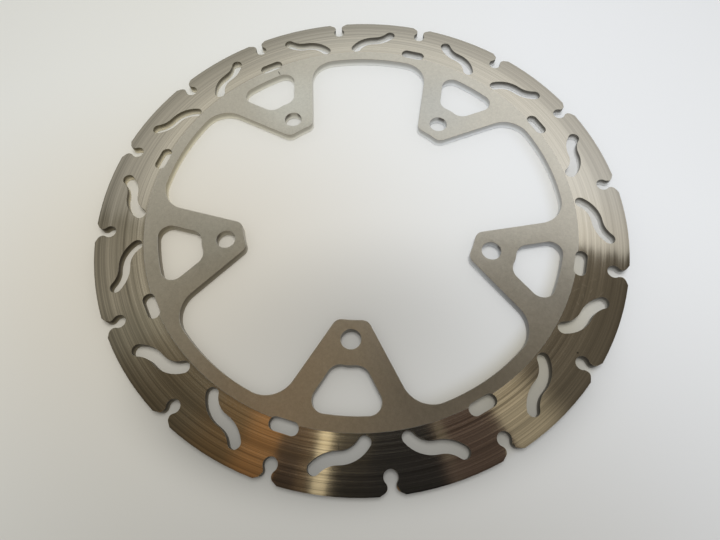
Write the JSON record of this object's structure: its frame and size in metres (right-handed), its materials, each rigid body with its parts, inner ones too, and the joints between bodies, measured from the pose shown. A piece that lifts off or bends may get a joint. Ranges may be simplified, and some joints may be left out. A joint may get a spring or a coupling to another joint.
{
  "type": "brake disc rotor",
  "caption": "Flat rigid motorcycle brake disc with a ground friction band, scalloped and slotted rim, and bolted tabs reaching in to the hub.",
  "frame": {"origin": "on the disc's axis, in the plane of the carrier's lower face", "axes": "+Z along the disc's axis, up through the plate; +Y along the centre line of one mounting tab"},
  "size_m": [0.2998, 0.2998, 0.005],
  "materials": {
    "ground_steel": "ground in fine circles about the disc's axis",
    "matte_steel": "matte, as rolled and tumbled"
  },
  "bodies": {
    "root": {"friction_band": "ground_steel", "mounting_carrier": "matte_steel"}
  },
  "joints": []
}
